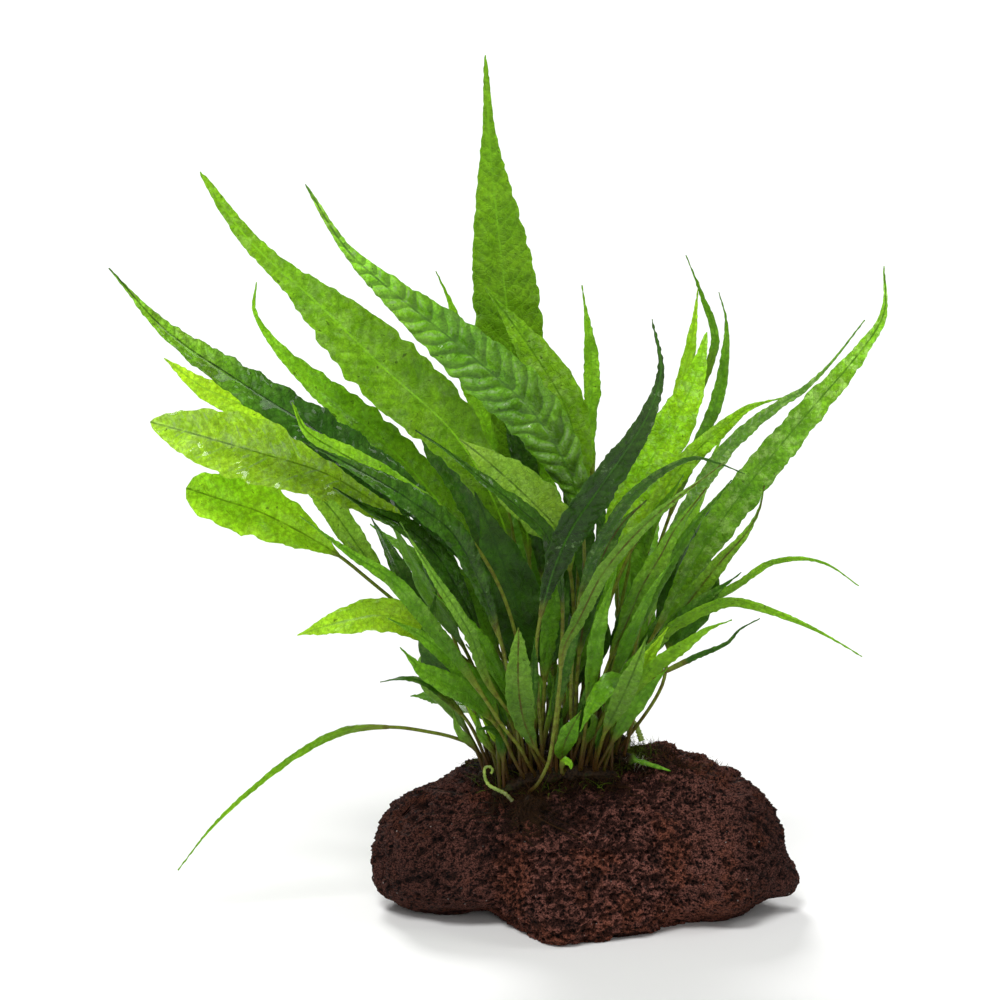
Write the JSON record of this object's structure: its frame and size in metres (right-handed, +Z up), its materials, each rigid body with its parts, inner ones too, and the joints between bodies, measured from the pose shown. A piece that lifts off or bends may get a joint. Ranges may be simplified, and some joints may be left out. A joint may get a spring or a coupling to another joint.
{
  "type": "java fern on stone",
  "caption": "Bushy java fern whose long pointed leaves rise on thin stalks from creeping rhizomes grown over a rough porous lava stone, resting on the stone's sole.",
  "frame": {"origin": "middle of the stone's flat sole, on the surface that it rests on", "axes": "+Z up from the sole, -Y towards the front of the plant, +X to the right as seen from the front"},
  "size_m": [0.189, 0.1163, 0.2171],
  "materials": {
    "lava_stone": "rough, porous, dark red-brown",
    "rhizome_bark": "rough, scaly, dark brown",
    "leaf_glow": "wet satin, light shining through",
    "leaf_bright": "wet satin",
    "leaf_green": "wet satin",
    "leaf_deep": "wet gloss",
    "leaf_matt": "matt, pale green",
    "young_frond": "satin, yellow-green"
  },
  "bodies": {
    "root": {"stone": "lava_stone", "rhizome_spur": "rhizome_bark", "rhizome_front": "rhizome_bark", "rhizome_middle": "rhizome_bark", "rhizome_back": "rhizome_bark", "rhizome_rear": "rhizome_bark", "leaf_front_1": "leaf_matt", "leaf_front_2": "leaf_green", "leaf_front_3": "leaf_matt", "leaf_front_4": "leaf_matt", "leaf_front_5": "leaf_green", "leaf_front_6": "leaf_matt", "leaf_left_1": "leaf_green", "leaf_left_2": "leaf_green", "leaf_left_3": "leaf_deep", "leaf_left_4": "leaf_bright", "leaf_right_1": "leaf_deep", "leaf_left_5": "leaf_deep", "leaf_right_2": "leaf_deep", "leaf_right_3": "leaf_green", "leaf_right_4": "leaf_bright", "leaf_left_6": "leaf_deep", "leaf_left_7": "leaf_deep", "leaf_centre_1": "leaf_deep", "leaf_centre_2": "leaf_matt", "leaf_right_5": "leaf_deep", "leaf_right_6": "leaf_green", "leaf_right_7": "leaf_green", "leaf_right_8": "leaf_bright", "leaf_left_8": "leaf_bright", "leaf_left_9": "leaf_glow", "leaf_left_10": "leaf_glow", "leaf_left_11": "leaf_glow", "leaf_left_12": "leaf_bright", "leaf_left_13": "leaf_green", "leaf_right_9": "leaf_bright", "leaf_right_10": "leaf_green", "leaf_right_11": "leaf_green", "leaf_left_14": "leaf_matt", "leaf_left_15": "leaf_glow", "leaf_left_16": "leaf_bright", "leaf_centre_3": "leaf_bright", "leaf_centre_4": "leaf_deep", "leaf_centre_5": "leaf_bright", "leaf_right_12": "leaf_bright", "leaf_right_13": "leaf_bright", "leaf_left_17": "leaf_bright", "leaf_right_14": "leaf_bright", "leaf_right_15": "leaf_glow", "leaf_right_16": "leaf_green", "leaf_back_1": "leaf_green", "leaf_back_2": "leaf_deep", "leaf_back_3": "leaf_bright", "leaf_back_4": "leaf_green", "leaf_back_5": "leaf_deep", "leaf_back_6": "leaf_green", "leaf_back_7": "leaf_bright", "leaf_back_8": "leaf_green", "fiddlehead": "young_frond", "arched_frond": "young_frond"}
  },
  "joints": []
}
